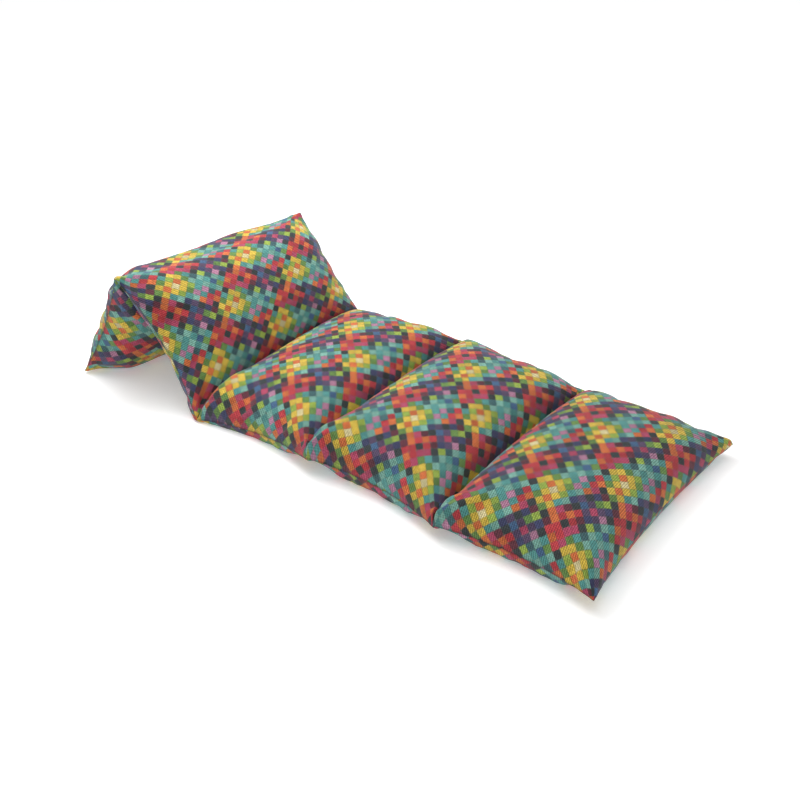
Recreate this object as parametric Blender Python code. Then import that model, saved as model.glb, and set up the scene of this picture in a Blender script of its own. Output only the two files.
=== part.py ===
"""Floor lounger cover with five filled pockets, as it stands in use.

The cover is two printed cloths, a top and a bottom one, sewn together round the edge and across
in four channel rows, so that it holds five pillows side by side. Three pockets lie flat on the
floor. The fourth leans up as a backrest and the fifth folds down behind it as its prop, so that
the two stand like a tent. The whole cover is one sewn piece, so it is one solid: each pocket has
its crown, its sides drawn in between the pinched corners, and its flat bottom where it rests.

Frame: metres, +Z up, +X towards the foot end, +Y towards the far long side. The origin is at the
middle of the bounding box, at floor level.
"""

import math

import bpy
from mathutils import Vector

# Driving sizes of the filled cover, in metres.
WIDTH = 0.620  # between the two pinched ends of a seam, across the cover
WEB = 0.004  # both cloths and their turned-in allowance, pressed together along a seam
FLOOR = 0.0
BOW_ROUND = 2.5  # of the way that the cross seams bow between their pinches

# A crown rises steeply from a seam and runs out level: the root of 1 - t ** ROUND.
ALONG_ROUND = 2.8
ACROSS_ROUND = 4.0
CORNER_FILL = 2.0  # how far the crown keeps its height towards the corners of a pocket

# Where two pockets fold towards each other their cloths touch, and this is left between them.
FOLD_GAP = 0.002
FOLD_SOFTNESS = 0.004
FOLD_LEAST = 0.0008  # of cloth on each side of a seam, inside a fold

# Faces in one pocket, closest together beside the seams.
STEPS_ALONG = 14
STEPS_ACROSS = 26

# The six seams that cross the cover, from the foot end to the head end. Columns: distance of its
# pinches from the foot end, shift across, turn in degrees, how far the seam bows towards the head
# between them, and the heights of its near pinch, of its far pinch and of its middle.
SEAMS = (
    # name       distance  shift  turn   bow    near   far    middle
    ("foot_end", 0.0000, 0.0000, 0.0, 0.020, 0.034, 0.033, 0.040),
    ("channel_1", 0.3605, -0.0050, 0.0, 0.014, 0.031, 0.025, 0.034),
    ("channel_2", 0.7185, 0.0045, 0.5, 0.014, 0.038, 0.036, 0.040),
    ("channel_3", 1.0765, -0.0055, 1.7, 0.010, 0.007, 0.016, 0.018),
    ("ridge", 1.2895, -0.0040, -0.8, 0.000, 0.314, 0.275, 0.277),
    ("head_end", 1.4780, -0.0220, -0.4, -0.015, 0.008, 0.008, 0.007),
)

# The pockets between them. Columns: whether the floor presses it flat, how far its top and its
# bottom cloth stand off the plane of its seams, and how far the filling draws its near side and
# its far side in between the pinches.
POCKETS = (
    # name    rests  top    bottom near_in far_in
    ("foot", True, 0.078, 0.074, 0.024, 0.020),
    ("middle", True, 0.085, 0.078, 0.026, 0.020),
    ("seat", True, 0.085, 0.078, 0.026, 0.018),
    ("backrest", False, 0.070, 0.066, 0.028, 0.014),
    ("prop", False, 0.066, 0.094, 0.018, 0.018),
)

PRINT_MEAN_COLOUR = (0.22, 0.19, 0.15, 1.0)
CLOTH_ROUGHNESS = 0.85


def clear_scene():
    for old in list(bpy.data.objects):
        bpy.data.objects.remove(old)


def cloth_material():
    material = bpy.data.materials.new("printed_cloth")
    material.use_nodes = True
    shader = material.node_tree.nodes["Principled BSDF"]
    shader.inputs["Base Color"].default_value = PRINT_MEAN_COLOUR
    shader.inputs["Roughness"].default_value = CLOTH_ROUGHNESS
    shader.inputs["Metallic"].default_value = 0.0
    return material


def spread(steps):
    """Numbers from 0 to 1 that lie closest together at both ends."""
    return [(1.0 - math.cos(math.pi * i / steps)) / 2.0 for i in range(steps + 1)]


def seam_point(seam, across):
    """The point of a seam at across, which runs from -1 at the near pinch to 1 at the far one."""
    _, distance, shift, turn, bow, near, far, middle = seam
    half = across * WIDTH / 2.0
    height = near + (far - near) * (across + 1.0) / 2.0
    height += (middle - (near + far) / 2.0) * (1.0 - across**2)
    angle = math.radians(turn)
    bowed = distance + bow * (1.0 - abs(across) ** BOW_ROUND)
    return Vector((-bowed - half * math.sin(angle), shift + half * math.cos(angle), height))


def crown(position, roundness):
    """0 at a seam and 1 midway: the rise of a filled pocket at a position from 0 to 1."""
    from_middle = abs(2.0 * position - 1.0)
    return math.sqrt(max(0.0, 1.0 - from_middle**roundness))


def corner_blend(along_rise, across_rise):
    """Joins the two rises of a crown so that a pocket is full up to its corners."""
    if min(along_rise, across_rise) <= 0.0:
        return 0.0
    return (along_rise**-CORNER_FILL + across_rise**-CORNER_FILL - 1.0) ** (-1.0 / CORNER_FILL)


def soft_smaller(a, b):
    """The smaller of two heights, with a soft turn where they cross."""
    mix = max(FOLD_SOFTNESS - abs(a - b), 0.0) / FOLD_SOFTNESS
    return min(a, b) - mix * mix * FOLD_SOFTNESS / 4.0


def panel_direction(pocket, across):
    """Along a pocket, from its foot-side seam to its head-side seam."""
    return (seam_point(SEAMS[pocket + 1], across) - seam_point(SEAMS[pocket], across)).normalized()


def face_normal(pocket, across):
    """Out of the top cloth of a pocket."""
    over = seam_point(SEAMS[pocket], 1.0) - seam_point(SEAMS[pocket], -1.0)
    return over.cross(panel_direction(pocket, across)).normalized()


def fold_room(pocket, along, across, side):
    """How far a face may stand off its seam plane before it meets the pocket that it folds onto."""
    room = math.inf
    length = (seam_point(SEAMS[pocket + 1], across) - seam_point(SEAMS[pocket], across)).length
    for neighbour, distance in ((pocket - 1, along * length), (pocket + 1, (1.0 - along) * length)):
        if not 0 <= neighbour < len(SEAMS) - 1:
            continue
        lower, upper = sorted((pocket, neighbour))
        bend = panel_direction(lower, across).angle(panel_direction(upper, across))
        turns_up = panel_direction(upper, across).dot(face_normal(lower, across)) > 0.0
        if turns_up == (side > 0):
            half_angle = (math.pi - bend) / 2.0
            gap = FOLD_GAP / 2.0 / math.cos(half_angle)
            room = min(room, max(FOLD_LEAST, distance * math.tan(half_angle) - gap))
    return room


def face_point(pocket, along, across, side):
    """A point of the top cloth (side 1) or the bottom cloth (side -1) of a pocket."""
    _, rests, top_crown, bottom_crown, near_in, far_in = POCKETS[pocket]
    draw_in = far_in + (near_in - far_in) * (1.0 - across) / 2.0
    inset = draw_in / (WIDTH / 2.0) * 4.0 * along * (1.0 - along)
    pulled = across * (1.0 - inset)
    start = seam_point(SEAMS[pocket], pulled)
    point = start.lerp(seam_point(SEAMS[pocket + 1], pulled), along)

    along_rise = crown(along, ALONG_ROUND)
    across_rise = crown((across + 1.0) / 2.0, ACROSS_ROUND)
    if side < 0 and rests:
        height = bottom_crown * along_rise * across_rise
    else:
        height = (top_crown if side > 0 else bottom_crown) * corner_blend(along_rise, across_rise)
    offset = soft_smaller(WEB / 2.0 + height, fold_room(pocket, along, across, side))
    point += face_normal(pocket, across) * side * max(offset, FOLD_LEAST)
    # The floor presses flat whatever reaches it.
    point.z = max(point.z, FLOOR)
    return point


def row_points(pocket, along, side):
    """One row of points across a face. At a channel it is the mean of the two pockets' rows."""
    columns = [2.0 * step - 1.0 for step in spread(STEPS_ACROSS)]
    row = [face_point(pocket, along, across, side) for across in columns]
    if along == 1.0 and pocket < len(SEAMS) - 2:
        beyond = [face_point(pocket + 1, 0.0, across, side) for across in columns]
        row = [(a + b) / 2.0 for a, b in zip(row, beyond)]
    return row


def face_rows(side):
    """All rows of the top or bottom cloth, from the foot end to the head end."""
    rows = [row_points(0, 0.0, side)]
    for pocket in range(len(SEAMS) - 1):
        rows += [row_points(pocket, along, side) for along in spread(STEPS_ALONG)[1:]]
    return rows


def cover_mesh():
    """The closed skin of the filled cover: both cloths, joined all round by the seam's edge."""
    top, bottom = face_rows(1), face_rows(-1)
    rows, columns = len(top), len(top[0])
    points = [point for row in top + bottom for point in row]

    def index(side, row, column):
        return side * rows * columns + row * columns + column

    faces = []
    for row in range(rows - 1):
        for column in range(columns - 1):
            corners = ((row, column), (row, column + 1), (row + 1, column + 1), (row + 1, column))
            faces.append([index(0, *corner) for corner in corners])
            faces.append([index(1, *corner) for corner in reversed(corners)])
    rim = [(0, column) for column in range(columns)]
    rim += [(row, columns - 1) for row in range(1, rows)]
    rim += [(rows - 1, column) for column in range(columns - 2, -1, -1)]
    rim += [(row, 0) for row in range(rows - 2, 0, -1)]
    for here, there in zip(rim, rim[1:] + rim[:1]):
        faces.append([index(0, *there), index(0, *here), index(1, *here), index(1, *there)])
    mesh = bpy.data.meshes.new("lounger_cover")
    mesh.from_pydata(points, [], faces)
    mesh.validate()
    return mesh


def centre_on_origin(mesh):
    """Moves the mesh so that the middle of its box is over the origin."""
    for axis in (0, 1):
        places = [vertex.co[axis] for vertex in mesh.vertices]
        middle = (min(places) + max(places)) / 2.0
        for vertex in mesh.vertices:
            vertex.co[axis] -= middle


def build_cover():
    mesh = cover_mesh()
    centre_on_origin(mesh)
    mesh.materials.append(cloth_material())
    mesh.shade_smooth()
    cover = bpy.data.objects.new("lounger_cover", mesh)
    bpy.context.scene.collection.objects.link(cover)
    return cover


clear_scene()
build_cover()
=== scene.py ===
"""Looks of the filled floor lounger cover: cloth shape, print, studio and camera."""

import math

import bpy
import numpy as np
from mathutils import Matrix, Vector


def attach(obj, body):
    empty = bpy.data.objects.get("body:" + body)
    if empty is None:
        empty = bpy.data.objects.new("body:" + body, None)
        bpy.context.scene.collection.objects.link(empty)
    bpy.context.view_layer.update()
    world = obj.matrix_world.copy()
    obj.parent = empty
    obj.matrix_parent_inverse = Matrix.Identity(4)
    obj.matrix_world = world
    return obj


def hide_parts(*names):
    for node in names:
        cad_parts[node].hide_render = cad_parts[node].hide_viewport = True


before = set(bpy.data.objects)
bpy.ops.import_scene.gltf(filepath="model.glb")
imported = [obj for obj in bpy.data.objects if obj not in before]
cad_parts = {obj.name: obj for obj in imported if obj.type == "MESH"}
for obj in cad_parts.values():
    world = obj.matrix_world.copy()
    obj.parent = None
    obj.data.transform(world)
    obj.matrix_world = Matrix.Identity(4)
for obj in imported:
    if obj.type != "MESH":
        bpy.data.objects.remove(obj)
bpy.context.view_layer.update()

# Sizes of the filled cover, in metres
WIDTH = 0.620  # between the two pinched ends of a seam
WEB = 0.004  # both cloths, pressed together along a seam
BOW_ROUND = 2.5  # of the way that the cross seams bow between their pinches
ALONG_ROUND = 2.8  # of a crown along the cover: the more, the steeper it leaves its seams
ACROSS_ROUND = 4.0  # and across it
CORNER_FILL = 2.0  # how far a crown keeps its height towards the corners
NEAR_FILL = 1.6  # added to that at the near side
FOLD_GAP = 0.002  # left between two pockets that fold towards each other
FOLD_SOFTNESS = 0.004  # two heights that are closer than this are blended
FOLD_LEAST = 0.0008  # of cloth on each side of a seam, inside a fold
SHIFT = np.array([0.7461, 0.0088, 0.0])  # from the foot end's middle to the middle of the box

# The six seams that cross the cover, from the foot end to the head end. Columns: distance of its
# pinches from the foot end, shift across, turn in degrees, how far the seam bows towards the head
# between them, and the heights of its near pinch, of its far pinch and of its middle.
SEAMS = (
    # distance  shift  turn   bow    near   far    middle
    (0.0000, 0.0000, 0.0, 0.020, 0.034, 0.029, 0.039),
    (0.3605, -0.0050, 0.0, 0.014, 0.031, 0.025, 0.034),
    (0.7185, 0.0045, 0.5, 0.014, 0.038, 0.036, 0.040),
    (1.0765, -0.0055, 1.7, 0.010, 0.007, 0.016, 0.018),
    (1.2895, -0.0035, -0.8, 0.000, 0.314, 0.277, 0.275),
    (1.4790, -0.0230, -0.4, -0.015, 0.005, 0.008, 0.006),
)
BACKREST_FOOT = 3  # the two seams where pockets fold towards each other
RIDGE = 4
# The pockets between the seams. Columns: whether the floor presses it flat, how far its top and
# its bottom cloth stand off the plane of its seams, and how far its near side and its far side
# are drawn in.
POCKETS = (
    # rests  top    bottom near_in far_in
    (True, 0.078, 0.074, 0.024, 0.020),
    (True, 0.085, 0.078, 0.026, 0.020),
    (True, 0.085, 0.078, 0.026, 0.018),
    (False, 0.070, 0.066, 0.028, 0.014),
    (False, 0.066, 0.094, 0.018, 0.018),
)

# The flat cut of each cloth
FLAT_POCKET = 0.447  # one pocket, along the cover
FLAT_WIDTH = 0.660

# Faces of the mesh before it is made finer
ROWS = 36  # along one pocket
COLUMNS = 62  # across the cover
SEAM_ROWS = [pocket * ROWS for pocket in range(len(POCKETS) + 1)]
EVEN_SHARE = 0.30  # of their spacing: the rest narrows towards the seams
TINY = 1e-6

# The channel rows stop short of the side seams, and beyond their ends the cloth bulges a little.
OPEN_END = 0.028  # from the end of a row to the side seam
OPEN_REACH = 0.018  # of the bulge, along the cover
OPEN_ROUND = 0.8
# How far the top cloth stands off a row there, at its near end and at its far end
END_LIFT = ((0, 0), (0.024, 0.006), (0.026, 0.006), (0.020, 0.006), (0.008, 0.0), (0, 0))
UNDER_LIFT = 0.35  # of that for the bottom cloth, at the seams before the backrest's

# The filling doesn't reach into the free corners, so these run out flat.
EARS = (
    # pocket, at its head end, far side, reach, share of the height left at the tip
    (0, False, False, 0.050, 0.20),
    (0, False, True, 0.150, 0.66),
    (1, False, True, 0.110, 0.60),
    (2, False, True, 0.100, 0.70),
    (3, False, False, 0.090, 0.45),
    (3, True, False, 0.095, 0.05),
    (3, True, True, 0.110, 0.25),
    (4, False, False, 0.100, 0.05),
    (4, False, True, 0.220, 0.30),
    (4, True, False, 0.100, 0.15),
    (4, True, True, 0.055, 0.10),
)
UNDER_REACH = 0.095  # below, the filling stays this far from every pinch
UNDER_LEFT = 0.35  # share of the height left at the pinches there

# Where the filling pushes a little more or less than elsewhere
LUMPS = (
    # pocket, side, from its foot-side seam, from the near side, reach along and across, height
    (0, 1, 0.325, 0.026, 0.045, 0.035, 0.017),
    (1, 1, 0.322, 0.032, 0.050, 0.045, 0.024),
    (1, 1, 0.305, 0.095, 0.055, 0.050, 0.010),
    (2, 1, 0.310, 0.060, 0.060, 0.075, 0.021),
    (3, -1, 0.030, 0.020, 0.030, 0.030, 0.012),
    (0, 1, 0.014, 0.012, 0.015, 0.013, 0.008),
    (0, -1, 0.014, 0.012, 0.015, 0.013, 0.008),
    (0, -1, 0.044, 0.012, 0.020, 0.022, -0.007),
)
LUMP_EDGE = 0.01  # a lump fades where the cloth stands off less than this

# Small folds that run out from the pinches
FOLDS = (
    # pocket, start and end: from the foot-side seam and from the near side, depth, half width
    (0, 0.004, 0.006, 0.070, 0.052, 0.0035, 0.005),
    (0, 0.050, 0.004, 0.110, 0.016, 0.0040, 0.006),
    (0, 0.356, 0.016, 0.290, 0.052, 0.0110, 0.007),
    (0, 0.345, 0.006, 0.250, 0.014, 0.0045, 0.006),
    (0, 0.348, 0.600, 0.300, 0.560, 0.0035, 0.006),
    (1, 0.010, 0.014, 0.065, 0.034, 0.0040, 0.006),
    (1, 0.354, 0.014, 0.275, 0.060, 0.0110, 0.007),
    (1, 0.345, 0.004, 0.250, 0.020, 0.0030, 0.005),
    (1, 0.012, 0.604, 0.070, 0.570, 0.0035, 0.006),
    (2, 0.010, 0.012, 0.080, 0.040, 0.0045, 0.006),
    (2, 0.354, 0.008, 0.260, 0.030, 0.0080, 0.006),
    (2, 0.354, 0.016, 0.290, 0.080, 0.0100, 0.007),
    (2, 0.012, 0.604, 0.075, 0.575, 0.0035, 0.006),
    (3, 0.008, 0.010, 0.080, 0.050, 0.0090, 0.007),
    (3, 0.006, 0.020, 0.045, 0.095, 0.0050, 0.005),
    (3, 0.245, 0.012, 0.190, 0.060, 0.0040, 0.006),
    (4, 0.020, 0.015, 0.090, 0.055, 0.0040, 0.006),
    (4, 0.300, 0.030, 0.230, 0.090, 0.0040, 0.007),
)
SHOULDER = 0.45  # height of the swellings beside a fold, as a share of its depth
SHOULDER_REACH = 2.4  # of these swellings, in half widths of the fold
UNDER_FOLDS = 0.5  # share of the depth in the bottom cloth

# How the sewn cloths settle
PRESSURE = 3.0  # of the filling
FRAMES = 20
MOST_MOVED = 0.012  # no point moves further than this
MOST_SPARE = 0.038  # share of its length that the cloth has to spare beside its seams
LEAST_SPARE = 0.004  # and elsewhere
SIDE_REACH = 0.16  # how far in from the side seams it has more, in half widths
CHANNEL_REACH = 0.10  # and from the cross seams, in pockets
CHANNEL_SPARE = 0.5  # what it has beside the cross seams, against the side seams
MIDWAY_SPARE = 0.3  # share of that midway across
# How firmly the points keep their place, from 0 to 1
HOLD_CROWN = 0.10
HOLD_SIDE = 0.60
HOLD_END = 0.50
HOLD_CHANNEL = 0.90
ON_FLOOR = 0.0006  # what lies lower than this stays where it is
FOLD_ROWS = 15  # over which the firmer hold beside a folded seam fades out

# The finished skin
BOTTOM_PRINT = 0.041  # how far the print of the bottom cloth is moved along
SEAM_CREASE = 0.8  # how sharp the side and end seams stay: 1 is fully


# Shape before it settles
def spread(steps):
    """Numbers from 0 to 1, closer together at both ends."""
    even = np.arange(steps + 1) / steps
    return EVEN_SHARE * even + (1.0 - EVEN_SHARE) * (1.0 - np.cos(math.pi * even)) / 2.0


def columns_across():
    """Where the columns are, from -1 at the near side to 1 at the far one."""
    return 2.0 * spread(COLUMNS) - 1.0


def seam_line(number, across):
    """Points of a seam at across, which runs from -1 at the near pinch to 1 at the far one."""
    distance, shift, turn, bow, near, far, middle = SEAMS[number]
    half = across * WIDTH / 2.0
    height = near + (far - near) * (across + 1.0) / 2.0
    height = height + (middle - (near + far) / 2.0) * (1.0 - across**2)
    angle = math.radians(turn)
    bowed = distance + bow * (1.0 - np.abs(across) ** BOW_ROUND)
    return np.stack(
        [-bowed - half * math.sin(angle), shift + half * math.cos(angle), height], -1
    )


def unit(vectors):
    return vectors / np.linalg.norm(vectors, axis=-1, keepdims=True)


def crown(position, roundness):
    """0 at a seam and 1 midway: the rise of a filled pocket at a position from 0 to 1."""
    return np.sqrt(np.clip(1.0 - np.abs(2.0 * position - 1.0) ** roundness, 0.0, 1.0))


def corner_blend(along_rise, across_rise, fill):
    """Joins the two rises of a crown: the more fill, the fuller the corners."""
    a = np.maximum(along_rise, TINY)
    b = np.maximum(across_rise, TINY)
    return (a**-fill + b**-fill - 1.0) ** (-1.0 / fill)


def soft_smaller(a, b):
    """The smaller of two heights, with a soft turn where they cross."""
    mix = np.clip(FOLD_SOFTNESS - np.abs(a - b), 0.0, None) / FOLD_SOFTNESS
    return np.minimum(a, b) - mix * mix * FOLD_SOFTNESS / 4.0


def smooth(value):
    """Runs from 0 to 1 with level ends."""
    part = np.clip(value, 0.0, 1.0)
    return part * part * (3.0 - 2.0 * part)


def panel_direction(pocket, across):
    """Along a pocket, from its foot-side seam to its head-side seam."""
    return unit(seam_line(pocket + 1, across) - seam_line(pocket, across))


def face_normal(pocket, across):
    """Out of the top cloth of a pocket."""
    over = seam_line(pocket, np.array(1.0)) - seam_line(pocket, np.array(-1.0))
    return unit(np.cross(over, panel_direction(pocket, across)))


def fold_room(pocket, along, across, side):
    """How far a face may stand off before it meets the pocket that it folds onto."""
    room = np.full(np.broadcast(along, across).shape, np.inf)
    length = np.linalg.norm(seam_line(pocket + 1, across) - seam_line(pocket, across), axis=-1)
    for neighbour, distance in ((pocket - 1, along * length), (pocket + 1, (1 - along) * length)):
        if not 0 <= neighbour < len(POCKETS):
            continue
        lower, upper = sorted((pocket, neighbour))
        here, there = panel_direction(lower, across), panel_direction(upper, across)
        bend = np.arccos(np.clip((here * there).sum(-1), -1, 1))
        turns_up = (there * face_normal(lower, across)).sum(-1) > 0.0
        half_angle = (math.pi - bend) / 2.0
        limit = distance * np.tan(half_angle) - FOLD_GAP / 2.0 / np.cos(half_angle)
        limit = np.maximum(FOLD_LEAST, limit)
        room = np.where(turns_up == (side > 0), np.minimum(room, limit), room)
    return room


def flattened(height, pocket, side, along, length, from_near):
    """Lowers a crown towards the free corners, and below towards every pinch."""
    for number, head, far, reach, left in EARS:
        if number == pocket:
            away = ((1.0 - along) if head else along) * length
            aside = (WIDTH - from_near) if far else from_near
            height = height * (left + (1.0 - left) * smooth(np.hypot(away, aside) / reach))
    rests = POCKETS[pocket][0]
    if side < 0 and rests:
        away = np.minimum(along, 1.0 - along) * length
        aside = np.minimum(from_near, WIDTH - from_near)
        inner = smooth(np.hypot(away, aside) / UNDER_REACH)
        height = height * (UNDER_LEFT + (1.0 - UNDER_LEFT) * inner)
    return height


def with_lumps(height, pocket, side, from_seam, from_near):
    """Adds the uneven push of the filling to a crown."""
    for number, which, at, off, long, wide, tall in LUMPS:
        if number == pocket and which == side:
            swell = ((from_seam - at) / long) ** 2 + ((from_near - off) / wide) ** 2
            height = height + tall * np.exp(-swell) * np.minimum(1.0, height / LUMP_EDGE)
    return height


def folds(pocket, side, from_seam, from_near):
    """Small valleys with raised shoulders, deepest where they start."""
    total = np.zeros_like(from_near)
    share = 1.0 if side > 0 else UNDER_FOLDS
    for number, along0, near0, along1, near1, depth, width in FOLDS:
        if number == pocket:
            run = np.array([along1 - along0, near1 - near0])
            there = np.stack([from_seam - along0, from_near - near0], -1)
            part = np.clip((there @ run) / (run @ run), 0.0, 1.0)
            away = np.linalg.norm(there - part[..., None] * run, axis=-1) / width
            shoulders = SHOULDER * np.exp(-((away / SHOULDER_REACH) ** 2))
            shape = shoulders - (1.0 + SHOULDER) * np.exp(-(away**2))
            total = total + depth * shape * (1.0 - smooth(part)) * share
    return total


def open_end(number, across, side):
    """How far a cloth stands off a channel row beyond the row's ends."""
    near, far = END_LIFT[number]
    from_edge = (1.0 - np.abs(across)) * WIDTH / 2.0
    inside = np.clip(from_edge / OPEN_END, 0.0, 1.0)
    bulge = np.clip(np.sin(math.pi * inside), 0, 1) ** OPEN_ROUND
    lift = np.where(across < 0, near, far) * bulge
    return lift * (1.0 if side > 0 or number >= BACKREST_FOOT else UNDER_LIFT)


def open_ends(pocket, side, along, across, length):
    """The same over a whole pocket, from the rows at both of its seams."""
    lift = np.zeros_like(length)
    if pocket > 0:
        fading = np.exp(-((along * length / OPEN_REACH) ** 2))
        lift = np.maximum(lift, open_end(pocket, across, side) * fading)
    if pocket < len(POCKETS) - 1:
        fading = np.exp(-(((1 - along) * length / OPEN_REACH) ** 2))
        lift = np.maximum(lift, open_end(pocket + 1, across, side) * fading)
    return lift


def cloth_points(pocket, along, across, side):
    """Points of the top cloth (side 1) or the bottom cloth (side -1) of a pocket."""
    rests, top_crown, bottom_crown, near_in, far_in = POCKETS[pocket]
    draw_in = far_in + (near_in - far_in) * (1.0 - across) / 2.0
    inset = draw_in / (WIDTH / 2.0) * 4.0 * along * (1.0 - along)
    pulled = across * (1.0 - inset)
    start, end = seam_line(pocket, pulled), seam_line(pocket + 1, pulled)
    points = start + (end - start) * along[..., None]
    length = np.linalg.norm(end - start, axis=-1)
    from_near = (1.0 + across) * WIDTH / 2.0

    along_rise = crown(along, ALONG_ROUND)
    across_rise = crown((across + 1.0) / 2.0, ACROSS_ROUND)
    if side < 0 and rests:
        height = bottom_crown * along_rise * across_rise
    else:
        tall = top_crown if side > 0 else bottom_crown
        fill = CORNER_FILL + NEAR_FILL * np.clip(-across, 0, 1) ** 2
        height = tall * corner_blend(along_rise, across_rise, fill)
    height = flattened(height, pocket, side, along, length, from_near)
    height = with_lumps(height, pocket, side, along * length, from_near)
    height = np.maximum(height + folds(pocket, side, along * length, from_near), 0.0)
    height = np.sqrt(height**2 + open_ends(pocket, side, along, across, length) ** 2)

    offset = soft_smaller(WEB / 2.0 + height, fold_room(pocket, along, across, side))
    offset = np.maximum(offset, FOLD_LEAST)
    points = points + face_normal(pocket, across) * (side * offset)[..., None]
    # The floor presses flat whatever reaches it.
    points[..., 2] = np.maximum(points[..., 2], 0.0)
    return points


def run_along(points):
    """How far along a line of points each one is, from 0 to 1."""
    run = np.concatenate([[0], np.cumsum(np.linalg.norm(np.diff(points, axis=0), axis=1))])
    return run / run[-1]


def whole_cloth(side):
    """All points of one cloth, and their places in its flat cut."""
    grid_along, grid_across = np.meshgrid(spread(ROWS), columns_across(), indexing="ij")
    pockets = range(len(POCKETS))
    sheets = [cloth_points(pocket, grid_along, grid_across, side) for pocket in pockets]
    points, lengths = [sheets[0][:1]], [[0.0]]
    for pocket, sheet in enumerate(sheets):
        end = sheet[-1]
        if pocket < len(sheets) - 1:
            end = (end + sheets[pocket + 1][0]) / 2.0
        points += [sheet[1:-1], end[None]]
        run = run_along(sheet[:, COLUMNS // 2])
        lengths.append(((pocket + run) * FLAT_POCKET)[1:])
    # One row, midway along the second pocket, gives the widths for all.
    widths = (run_along(sheets[1][ROWS // 2]) - 0.5) * FLAT_WIDTH
    flat = np.stack(np.meshgrid(np.concatenate(lengths), widths, indexing="ij"), -1)
    return np.concatenate(points) + SHIFT, flat


# Meshes
def grid_faces(rows, columns, start, flip):
    """Faces of a grid whose points are numbered row by row from start."""
    corner = np.arange(rows - 1)[:, None] * columns + np.arange(columns - 1)[None, :] + start
    quads = np.stack([corner, corner + 1, corner + columns + 1, corner + columns], -1)
    quads = quads.reshape(-1, 4)
    return quads[:, ::-1] if flip else quads


def rim_of(rows, columns):
    """Numbers of the points round the edge of a grid, in their order."""
    number = np.arange(rows * columns).reshape(rows, columns)
    return np.concatenate(
        [number[0, :-1], number[:-1, -1], number[-1, :0:-1], number[:0:-1, 0]]
    )


def points_in_use(faces):
    """Numbers of the points that the faces use, and the new number of each."""
    used = np.unique(faces)
    order = np.full(used[-1] + 1, -1)
    order[used] = np.arange(len(used))
    return used, order


def object_of(name, points, faces):
    mesh = bpy.data.meshes.new(name)
    mesh.from_pydata(points.tolist(), [], faces.tolist())
    mesh.validate()
    made = bpy.data.objects.new(name, mesh)
    bpy.context.scene.collection.objects.link(made)
    return made


# Settling
def sewn_points(rows, columns):
    """Which points of the two cloths are sewn together: all round, and along the channels."""
    sewn = np.zeros((rows, columns), bool)
    sewn[0] = sewn[-1] = True
    sewn[:, 0] = sewn[:, -1] = True
    stitched = (1.0 - np.abs(columns_across())) * WIDTH / 2.0 > OPEN_END - TINY
    for row in SEAM_ROWS[1:-1]:
        sewn[row] |= stitched
    return sewn.reshape(-1)


def hold_weights(points):
    """How firmly each point of both cloths keeps its place."""
    hold = np.full(points.shape[:3], HOLD_CROWN)
    hold[:, :, 0] = hold[:, :, -1] = HOLD_SIDE
    hold[:, 0] = hold[:, -1] = HOLD_END
    for row in SEAM_ROWS[1:-1]:
        hold[:, row] = HOLD_CHANNEL
    for row in SEAM_ROWS:
        hold[:, row, 0] = hold[:, row, -1] = 1.0
    hold[points[..., 2] < ON_FLOOR] = 1.0
    # The deeper a point lies in a fold, the less it moves.
    for row, cloth in ((SEAM_ROWS[BACKREST_FOOT], 0), (SEAM_ROWS[RIDGE], 1)):
        for step in range(1 - FOLD_ROWS, FOLD_ROWS):
            keep = 1.0 - abs(step) / FOLD_ROWS
            hold[cloth, row + step] = np.maximum(hold[cloth, row + step], keep)
    return hold.reshape(-1)


def ease_weights(rows):
    """0 where the cloth has most to spare, beside its seams, and 1 where it has least."""
    away_rows = np.abs(np.arange(rows)[:, None] - np.array(SEAM_ROWS)[None])
    from_seam = np.min(away_rows, axis=1) / ROWS
    from_side = 1.0 - np.abs(columns_across())
    side_near = np.exp(-((from_side / SIDE_REACH) ** 2))[None, :]
    seam_near = np.exp(-((from_seam / CHANNEL_REACH) ** 2))[:, None]
    spare = side_near + CHANNEL_SPARE * seam_near * (MIDWAY_SPARE + side_near)
    spare = np.clip(spare, 0.0, 1.0)
    return 1.0 - np.stack([spare, spare]).reshape(-1)


def add_weights(made, name, weights):
    """Gives the points their weights, in steps of a hundredth."""
    group = made.vertex_groups.new(name=name)
    stepped = np.round(weights, 2)
    for value in np.unique(stepped):
        group.add(np.nonzero(stepped == value)[0].tolist(), float(value), "REPLACE")


def add_cloth(skin):
    """A light, fairly stiff canvas that the filling presses outwards."""
    cloth = skin.modifiers.new("Cloth", "CLOTH")
    settings = cloth.settings
    settings.quality = 6
    settings.mass = 0.25
    settings.tension_stiffness = 20.0
    settings.compression_stiffness = 20.0
    settings.shear_stiffness = 5.0
    settings.bending_stiffness = 0.4
    settings.tension_damping = 5.0
    settings.compression_damping = 5.0
    settings.air_damping = 2.0
    settings.vertex_group_mass = "hold"
    settings.pin_stiffness = 6.0
    settings.use_pressure = True
    settings.uniform_pressure_force = PRESSURE
    settings.vertex_group_shrink = "ease"
    settings.shrink_min = -MOST_SPARE
    settings.shrink_max = -LEAST_SPARE
    settings.effector_weights.gravity = 0.0
    cloth.point_cache.frame_start = 1
    cloth.point_cache.frame_end = FRAMES
    cloth.collision_settings.use_collision = False


def settled_places(skin):
    """Runs the frames one by one, and gives the places where the points end."""
    scene = bpy.context.scene
    for number in range(1, FRAMES + 1):
        scene.frame_set(number)
    settled = skin.evaluated_get(bpy.context.evaluated_depsgraph_get())
    places = np.zeros(len(skin.data.vertices) * 3, np.float32)
    settled.data.vertices.foreach_get("co", places)
    scene.frame_set(1)
    return places.reshape(-1, 3).astype(float)


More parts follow.
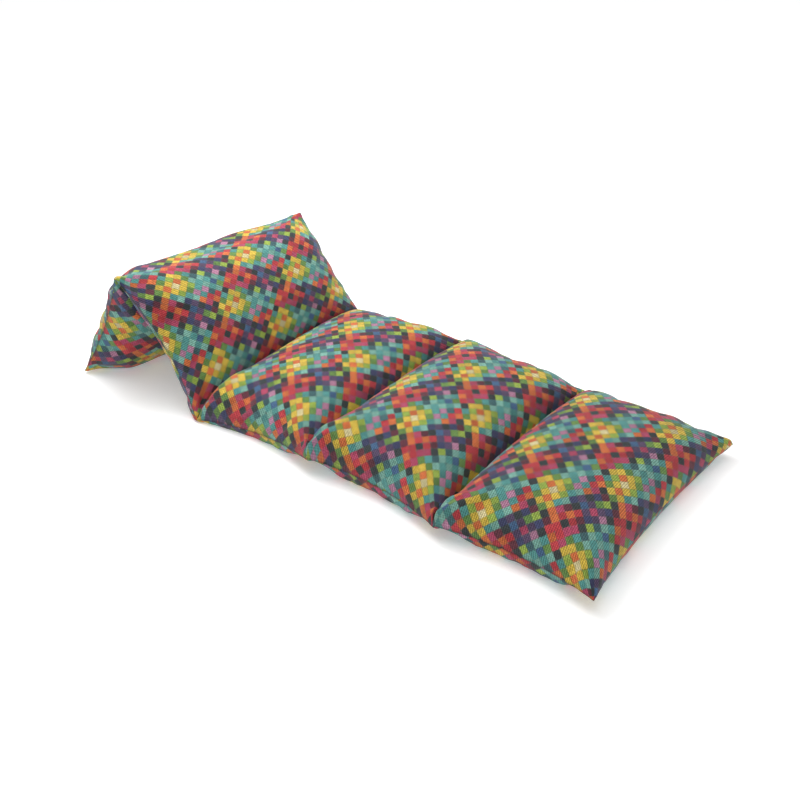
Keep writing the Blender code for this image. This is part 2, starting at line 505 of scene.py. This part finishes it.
def relax(top, bottom):
    """Lets the two sewn cloths settle under the filling's pressure."""
    rows, columns = top.shape[:2]
    count = rows * columns
    sewn = sewn_points(rows, columns)
    points = np.concatenate([top.reshape(-1, 3), bottom.reshape(-1, 3)])
    middle = (points[:count] + points[count:]) / 2.0
    points[:count][sewn] = middle[sewn]
    joined = np.arange(count, 2 * count)
    joined[sewn] -= count
    upper = grid_faces(rows, columns, 0, False)
    lower = joined[grid_faces(rows, columns, 0, True)]
    faces = np.concatenate([upper, lower])
    used, order = points_in_use(faces)

    skin = object_of("settling", points[used], order[faces])
    hold = hold_weights(points.reshape(2, rows, columns, 3))
    add_weights(skin, "hold", hold[used])
    add_weights(skin, "ease", ease_weights(rows)[used])
    add_cloth(skin)
    step = settled_places(skin) - points[used]
    bpy.data.objects.remove(skin)

    size = np.linalg.norm(step, axis=1, keepdims=True)
    points[used] += step * np.minimum(1.0, MOST_MOVED / np.maximum(size, TINY))
    points[count:][sewn] = points[:count][sewn]
    points[:, 2] = np.maximum(points[:, 2], 0.0)
    return points.reshape(2, rows, columns, 3)


# The finished skin
def row_normals(points):
    down = np.gradient(points, axis=0)
    over = np.gradient(points, axis=1)
    return unit(np.cross(over, down))


def part_channels(top, bottom):
    """Parts the cloths by their own thickness along the channel rows."""
    normal = row_normals(top)
    for row in SEAM_ROWS[1:-1]:
        gap = np.linalg.norm(top[row] - bottom[row], axis=1)
        close = np.clip(WEB / 2.0 - gap / 2.0, 0.0, None)[:, None]
        top[row] += normal[row] * close
        bottom[row] -= normal[row] * close
    bottom[..., 2] = np.maximum(bottom[..., 2], 0.0)


def crease_seams(cover, rim):
    """Keeps the side and end seams sharp when the mesh is made finer."""
    sharp = {(min(pair), max(pair)) for pair in zip(rim, np.roll(rim, -1))}
    crease = cover.data.attributes.new("crease_edge", "FLOAT", "EDGE")
    edges = [tuple(sorted(edge.vertices)) for edge in cover.data.edges]
    crease.data.foreach_set("value", [SEAM_CREASE if edge in sharp else 0.0 for edge in edges])


def finished_cover(top, bottom, flat):
    """The closed skin with its seams, its places in the flat cut and a second level of detail."""
    rows, columns = top.shape[:2]
    count = rows * columns
    rim = rim_of(rows, columns)
    part_channels(top, bottom)
    points = np.concatenate([top.reshape(-1, 3), bottom.reshape(-1, 3)])
    points[rim] = (points[rim] + points[rim + count]) / 2.0
    upper = grid_faces(rows, columns, 0, False)
    lower = grid_faces(rows, columns, count, True)
    joined = np.arange(2 * count)
    joined[rim + count] -= count
    faces = np.concatenate([upper, joined[lower]])
    used, order = points_in_use(faces)
    cover = object_of("cover_cloth", points[used], order[faces])

    flat = flat.reshape(-1, 2)
    places = np.concatenate([flat, flat + [BOTTOM_PRINT, 0.0]])
    corners = np.concatenate([upper, lower]).reshape(-1)
    layer = cover.data.uv_layers.new(name="cloth")
    layer.data.foreach_set("uv", places[corners].astype(np.float32).reshape(-1))
    crease_seams(cover, order[rim])
    cover.data.shade_smooth()
    finer = cover.modifiers.new("Finer", "SUBSURF")
    finer.levels = finer.render_levels = 1
    return cover


# The print
DYES = {
    "T": "4A847F", "A": "6C9A8D", "D": "3A5A5E", "B": "3E5A7B", "L": "859B42",
    "G": "5B7B40", "Y": "C0A43F", "C": "BDB285", "O": "BC6437", "R": "A6363C",
    "M": "9C3F58", "P": "A07088", "V": "4D3F58", "N": "383C5A", "K": "313738",
    "W": "592D37",
}
# One repeat of the print: stepped diamonds of small lozenges
CHART = (
    "YGTKRORWKG",
    "OYLYMRROOY",
    "YCOYGMKRMT",
    "LYYGTMROWA",
    "TGLADKWRKN",
    "APTTALNVBV",
    "OTPATDVMVK",
    "MRDTBAPVGN",
    "KORAGTKNLW",
)
BAND = 3  # rows of the chart in one colour ramp, which holds 32 colours at most
PITCH = 0.0170  # between neighbouring lozenges
ROUNDNESS = 3.0  # of a lozenge's corners: 2 is an oval, more is squarer
LEAST_SIZE = 0.515  # from a lozenge's middle to its side, in pitches
SIZE_CHANCE = 0.06  # added to that at most
PLACE_CHANCE = 0.08  # the range in which its middle lies, in pitches
LEAST_DYE = 0.86  # strength of its dye
DYE_CHANCE = 0.34  # added to that at most
SOFT_EDGE = (1.07, 0.87)  # the dye fades in between these, with 1 at a lozenge's side
OVERLAP_SHADE = 0.90  # where two dyes lie one over the other
UNLIKE_SHADE = 0.30  # taken off that at most, where they are unlike
UNLIKE = (0.02, 0.25)  # differences in colour between which that sets in
GROUND = (0.09, 0.12, 0.10, 1.0)  # where no lozenge lies, mixed with the dyes beside it
GROUND_SHARE = 0.5

# The canvas
RIB = 0.0048  # between its ribs, which run across the cover
CROSS = 0.0042  # between its cross threads
THREAD = 0.0021  # between the fine threads of its relief
PAINTED_RIB_SHADE = 0.32  # painted light and shade of the ribs: how far they lighten and darken the colour
PAINTED_CROSS_SHADE = 0.14  # and the painted light and shade of the cross threads
RIB_HEIGHT = 0.5  # shares of the relief's depth
THREAD_HEIGHT = 0.25
BUMP_STRENGTH = 0.25
BUMP_DEPTH = 0.0006
CROSSING = 0.0026  # one crossing of threads
UNEVEN = 0.36  # how far their dye differs
BLOTCHES = 160.0  # in a metre, about
BLOTCH_LEAST = 0.70  # lightness of the darkest
BLOTCH_SHADE = 0.4  # added to that at most
PAINTED_SEAM_SHADE = 0.006  # width of the painted shade beside a side seam
PAINTED_SEAM_DARK = 0.45  # how far that painted shade darkens the colour, at the seam


def colour(text):
    """Linear colour of a six digit web colour."""
    parts = [int(text[i:i + 2], 16) / 255.0 for i in (0, 2, 4)]
    line = [c / 12.92 if c <= 0.04045 else ((c + 0.055) / 1.055) ** 2.4 for c in parts]
    return (*line, 1.0)


class Tree:
    """Small helpers that add nodes to a material or a world and join them."""

    def __init__(self, material):
        material.use_nodes = True
        self.nodes = material.node_tree.nodes
        self.links = material.node_tree.links
        self.nodes.clear()

    def add(self, kind, **settings):
        node = self.nodes.new(kind)
        for key, value in settings.items():
            setattr(node, key, value)
        return node

    def feed(self, socket, value):
        if isinstance(value, bpy.types.NodeSocket):
            self.links.new(value, socket)
        else:
            socket.default_value = value

    def math(self, operation, *values):
        node = self.add("ShaderNodeMath", operation=operation)
        for socket, value in zip(node.inputs, values):
            self.feed(socket, value)
        return node.outputs[0]

    def scaled(self, value, factor, plus):
        """value * factor + plus."""
        return self.math("ADD", self.math("MULTIPLY", value, factor), plus)

    def wave(self, value, period):
        return self.math("SINE", self.math("MULTIPLY", value, 2.0 * math.pi / period))

    def smooth_step(self, value, low, high, top=1.0):
        """Runs from 0 at low to top at high, with level ends."""
        node = self.add("ShaderNodeMapRange", interpolation_type="SMOOTHSTEP")
        self.feed(node.inputs["Value"], value)
        node.inputs["From Min"].default_value = low
        node.inputs["From Max"].default_value = high
        node.inputs["To Min"].default_value = 0.0
        node.inputs["To Max"].default_value = top
        return node.outputs[0]

    def chances(self, x, y):
        """The same random value and colour all over each whole x and y."""
        node = self.add("ShaderNodeTexWhiteNoise", noise_dimensions="2D")
        self.feed(node.inputs["Vector"], self.combine(x, y))
        return node.outputs

    def steps(self, factor, colours):
        """Plain colours in even steps."""
        node = self.add("ShaderNodeValToRGB")
        ramp = node.color_ramp
        ramp.interpolation = "CONSTANT"
        for number in range(2, len(colours)):
            ramp.elements.new(number / len(colours))
        for number, element in enumerate(ramp.elements):
            element.position = number / len(colours)
            element.color = colours[number]
        self.feed(node.inputs[0], factor)
        return node.outputs[0]

    def mix(self, factor, a, b, blend="MIX"):
        node = self.add("ShaderNodeMix", data_type="RGBA", blend_type=blend)
        self.feed(node.inputs["Factor"], factor)
        # The node's sockets for colours
        self.feed(node.inputs[6], a)
        self.feed(node.inputs[7], b)
        return node.outputs[2]

    def shaded(self, tone, shade):
        return self.mix(1.0, tone, self.combine(shade, shade, shade), "MULTIPLY")

    def separate(self, vector):
        node = self.add("ShaderNodeSeparateXYZ")
        self.feed(node.inputs[0], vector)
        return node.outputs

    def combine(self, x, y, z=0.0):
        node = self.add("ShaderNodeCombineXYZ")
        for socket, value in zip(node.inputs, (x, y, z)):
            self.feed(socket, value)
        return node.outputs[0]


def chart_colour(t, a, b):
    """The dye of the lozenge in column a and row b of the chart."""
    wide, tall = len(CHART[0]), len(CHART)
    column = t.math("FLOORED_MODULO", a, float(wide))
    row = t.math("FLOORED_MODULO", b, float(tall))
    band = t.math("FLOOR", t.math("DIVIDE", t.math("ADD", row, 0.5), float(BAND)))
    inside = t.math("SUBTRACT", row, t.math("MULTIPLY", band, float(BAND)))
    number = t.math("ADD", t.math("MULTIPLY", inside, float(wide)), column)
    place = t.math("DIVIDE", t.math("ADD", number, 0.5), float(BAND * wide))
    found = None
    for first in range(0, tall, BAND):
        letters = "".join(CHART[first:first + BAND])
        dye = t.steps(place, [colour(DYES[letter]) for letter in letters])
        here = t.math("GREATER_THAN", band, first / BAND - 0.5)
        found = dye if found is None else t.mix(here, found, dye)
    return found


def own_cell(t, u, v):
    """The lozenge that a place lies in, and how far the place is off its middle."""
    scale = 1.0 / (PITCH * math.sqrt(2.0))
    a = t.math("MULTIPLY", t.math("ADD", u, v), scale)
    b = t.math("MULTIPLY", t.math("SUBTRACT", v, u), scale)
    cell_a, cell_b = t.math("FLOOR", a), t.math("FLOOR", b)
    off_a = t.math("SUBTRACT", t.math("SUBTRACT", a, cell_a), 0.5)
    off_b = t.math("SUBTRACT", t.math("SUBTRACT", b, cell_b), 0.5)
    return (cell_a, cell_b), (off_a, off_b)


def next_cell(t, cell, off):
    """The neighbour across the nearest side, and how far the place is off its middle."""
    near_a, near_b = t.math("ABSOLUTE", off[0]), t.math("ABSOLUTE", off[1])
    sideways = t.math("GREATER_THAN", near_a, near_b)
    upright = t.math("SUBTRACT", 1.0, sideways)
    step_a = t.math("MULTIPLY", t.math("SIGN", off[0]), sideways)
    step_b = t.math("MULTIPLY", t.math("SIGN", off[1]), upright)
    beside = t.math("ADD", cell[0], step_a), t.math("ADD", cell[1], step_b)
    return beside, (t.math("SUBTRACT", off[0], step_a), t.math("SUBTRACT", off[1], step_b))


def lozenge(t, cell, off):
    """The dye of a lozenge at a place off its middle, and how much of it lies there.

    Each lozenge has its own size, place and strength of dye, and rounded corners.
    """
    random = t.chances(*cell)
    chance = t.separate(random["Color"])
    size = t.scaled(chance[0], SIZE_CHANCE, LEAST_SIZE)
    sides = []
    for away, moved in zip(off, (chance[1], chance[2])):
        moved = t.math("MULTIPLY", t.math("SUBTRACT", moved, 0.5), PLACE_CHANCE)
        side = t.math("ABSOLUTE", t.math("ADD", away, moved))
        sides.append(t.math("POWER", side, ROUNDNESS))
    reach = t.math("POWER", t.math("ADD", *sides), 1.0 / ROUNDNESS)
    amount = t.smooth_step(t.math("DIVIDE", reach, size), *SOFT_EDGE)
    strength = t.scaled(random["Value"], DYE_CHANCE, LEAST_DYE)
    return t.shaded(chart_colour(t, *cell), strength), amount


def overlap(t, one, other):
    """Two dyes, one over the other: darker, and most so where they are unlike."""
    # The square root of their product is as strong as one dye.
    both = t.add("ShaderNodeGamma")
    t.feed(both.inputs[0], t.mix(1.0, one, other, "MULTIPLY"))
    both.inputs[1].default_value = 0.5
    length = t.add("ShaderNodeVectorMath", operation="LENGTH")
    t.feed(length.inputs[0], t.mix(1.0, one, other, "DIFFERENCE"))
    unlike = t.smooth_step(length.outputs["Value"], *UNLIKE, UNLIKE_SHADE)
    return t.shaded(both.outputs[0], t.math("SUBTRACT", OVERLAP_SHADE, unlike))


def print_colour(t, u, v):
    """The lozenges, and the ground where none lies."""
    cell, off = own_cell(t, u, v)
    own, on_own = lozenge(t, cell, off)
    beside, on_next = lozenge(t, *next_cell(t, cell, off))
    ground = t.mix(GROUND_SHARE, t.mix(0.5, own, beside), GROUND)
    overlapping = t.mix(on_own, beside, overlap(t, own, beside))
    return t.mix(on_next, t.mix(on_own, ground, own), overlapping)


def canvas_shade(t, place, u, v, rib):
    """How light the cloth is at a place, apart from the print: uneven dye, and painted light and
    shade of ribs, threads and seams.
    """
    # The dye is a little uneven.
    blotch = t.add("ShaderNodeTexNoise", noise_dimensions="2D")
    t.feed(blotch.inputs["Vector"], place)
    blotch.inputs["Scale"].default_value = BLOTCHES
    blotch.inputs["Detail"].default_value = 2.0
    shade = t.scaled(blotch.outputs[0], BLOTCH_SHADE, BLOTCH_LEAST)

    # Painted light and shade of the ribs and cross threads: the colour is lighter on them and
    # darker between.
    ribs = t.math("MULTIPLY", rib, PAINTED_RIB_SHADE)
    relief = t.math("ADD", ribs, t.math("MULTIPLY", t.wave(v, CROSS), PAINTED_CROSS_SHADE))
    shade = t.math("MULTIPLY", shade, t.math("ADD", relief, 1.0))

    # No two crossings of threads take the dye alike.
    crossing_u = t.math("FLOOR", t.math("DIVIDE", u, CROSSING))
    crossing_v = t.math("FLOOR", t.math("DIVIDE", v, CROSSING))
    random = t.chances(crossing_u, crossing_v)
    shade = t.math("MULTIPLY", shade, t.scaled(random["Value"], UNEVEN, 1.0 - UNEVEN / 2.0))

    # Painted shade: the colour is darker beside the side seams, where the turned edge throws a
    # little shade on both sides of the seam.
    side = FLAT_WIDTH / 2.0
    edge = t.smooth_step(t.math("ABSOLUTE", v), side - PAINTED_SEAM_SHADE, side, PAINTED_SEAM_DARK)
    return t.math("MULTIPLY", shade, t.math("SUBTRACT", 1.0, edge))


def canvas_bump(t, v, rib):
    """The relief of ribs and threads."""
    ribs = t.math("MULTIPLY", rib, RIB_HEIGHT)
    threads = t.math("MULTIPLY", t.wave(v, THREAD), THREAD_HEIGHT)
    bump = t.add("ShaderNodeBump")
    bump.inputs["Strength"].default_value = BUMP_STRENGTH
    bump.inputs["Distance"].default_value = BUMP_DEPTH
    t.feed(bump.inputs["Height"], t.math("ADD", ribs, threads))
    return bump.outputs[0]


def print_material():
    material = bpy.data.materials.new("printed_canvas")
    t = Tree(material)
    place = t.add("ShaderNodeUVMap", uv_map="cloth").outputs[0]
    parts = t.separate(place)
    u, v = parts[0], parts[1]
    rib = t.wave(u, RIB)
    tone = t.shaded(print_colour(t, u, v), canvas_shade(t, place, u, v, rib))

    shader = t.add("ShaderNodeBsdfPrincipled")
    t.feed(shader.inputs["Base Color"], tone)
    shader.inputs["Roughness"].default_value = 0.85
    shader.inputs["Specular IOR Level"].default_value = 0.25
    shader.inputs["Sheen Weight"].default_value = 0.15
    shader.inputs["Sheen Roughness"].default_value = 0.5
    t.feed(shader.inputs["Normal"], canvas_bump(t, v, rib))
    out = t.add("ShaderNodeOutputMaterial")
    t.links.new(shader.outputs[0], out.inputs[0])
    return material


# Studio
WHITE = (1.0, 1.0, 1.0, 1.0)
FLOOR_REACH = 60.0  # from the cover to the floor's edges
FLOOR_SHADE = (0.92, 0.92, 0.92, 1.0)
FLOOR_GLOW = 0.26  # makes the floor white in the picture
SKY_CHANGE = (0.35, 0.10)  # heights between which the surroundings change, with 1 overhead
SKY_STRENGTH = 0.47  # overhead
HORIZON_MORE = 0.53  # added to that where they meet the floor
CAMERA_PLACE = (1.32448, -1.52654, 1.31052)
CAMERA_YAW = -39.667  # degrees, from the far side's direction towards the foot end's
CAMERA_PITCH = 32.4476  # degrees down
CAMERA_ROLL = -1.8312  # degrees about the line of sight
SENSOR = 36.0  # its width, in millimetres
LENS = 44.84  # its length, in millimetres
OVERHEAD_FROM = (-0.5, 0.3, 3.0)
OVERHEAD_TO = (0.0, 0.0, 0.0)
OVERHEAD_ENERGY = 1.0
OVERHEAD_ANGLE = 60  # degrees
KEY_FROM = (-0.7, 0.2, 1.5)
KEY_TO = (-0.4, 0.0, 0.1)
KEY_ENERGY = 21.0
KEY_SIZE = 1.0


def floor_material():
    material = bpy.data.materials.new("floor")
    t = Tree(material)
    shader = t.add("ShaderNodeBsdfPrincipled")
    shader.inputs["Base Color"].default_value = FLOOR_SHADE
    shader.inputs["Roughness"].default_value = 0.9
    shader.inputs["Emission Color"].default_value = WHITE
    shader.inputs["Emission Strength"].default_value = FLOOR_GLOW
    out = t.add("ShaderNodeOutputMaterial")
    t.links.new(shader.outputs[0], out.inputs[0])
    return material


def build_floor():
    corners = ((-1, -1), (1, -1), (1, 1), (-1, 1))
    points = np.array([(x * FLOOR_REACH, y * FLOOR_REACH, 0.0) for x, y in corners])
    floor = object_of("floor", points, np.array([[0, 1, 2, 3]]))
    floor.data.materials.append(floor_material())


def build_camera():
    yaw, pitch = math.radians(CAMERA_YAW), math.radians(CAMERA_PITCH)
    level = math.cos(pitch)
    ahead = Vector((level * math.sin(yaw), level * math.cos(yaw), -math.sin(pitch)))
    right = ahead.cross(Vector((0, 0, 1))).normalized()
    up = right.cross(ahead)
    roll = math.radians(CAMERA_ROLL)
    c, s = math.cos(roll), math.sin(roll)
    right, up = c * right + s * up, -s * right + c * up
    data = bpy.data.cameras.new("camera")
    data.sensor_width = SENSOR
    data.lens = LENS
    camera = bpy.data.objects.new("camera", data)
    turn = Matrix((right, up, -ahead)).transposed().to_4x4()
    camera.matrix_world = Matrix.Translation(CAMERA_PLACE) @ turn
    bpy.context.scene.collection.objects.link(camera)
    bpy.context.scene.camera = camera


def build_surroundings():
    """White where they meet the floor, and softer above."""
    world = bpy.data.worlds.new("studio")
    t = Tree(world)
    up = t.separate(t.add("ShaderNodeTexCoord").outputs["Generated"])[2]
    strength = t.math("ADD", t.smooth_step(up, *SKY_CHANGE, HORIZON_MORE), SKY_STRENGTH)
    light = t.add("ShaderNodeBackground")
    light.inputs["Color"].default_value = WHITE
    t.feed(light.inputs["Strength"], strength)
    out = t.add("ShaderNodeOutputWorld")
    t.links.new(light.outputs[0], out.inputs[0])
    bpy.context.scene.world = world


def add_light(name, kind, energy, place, target):
    data = bpy.data.lights.new(name, kind)
    data.energy = energy
    light = bpy.data.objects.new(name, data)
    light.location = place
    light.rotation_euler = (Vector(target) - Vector(place)).to_track_quat("-Z", "Y").to_euler()
    bpy.context.scene.collection.objects.link(light)
    return data


def build_lights():
    overhead = add_light("overhead", "SUN", OVERHEAD_ENERGY, OVERHEAD_FROM, OVERHEAD_TO)
    overhead.angle = math.radians(OVERHEAD_ANGLE)
    key = add_light("key", "AREA", KEY_ENERGY, KEY_FROM, KEY_TO)
    key.size = KEY_SIZE
    bpy.context.scene.view_settings.view_transform = "Standard"


# Everything
top_cloth, flat_cut = whole_cloth(1)
bottom_cloth = whole_cloth(-1)[0]
top_cloth, bottom_cloth = relax(top_cloth, bottom_cloth)
cover = finished_cover(top_cloth, bottom_cloth, flat_cut)
cover.data.materials.append(print_material())
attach(cover, "root")
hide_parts("lounger_cover")

build_floor()
build_camera()
build_surroundings()
build_lights()
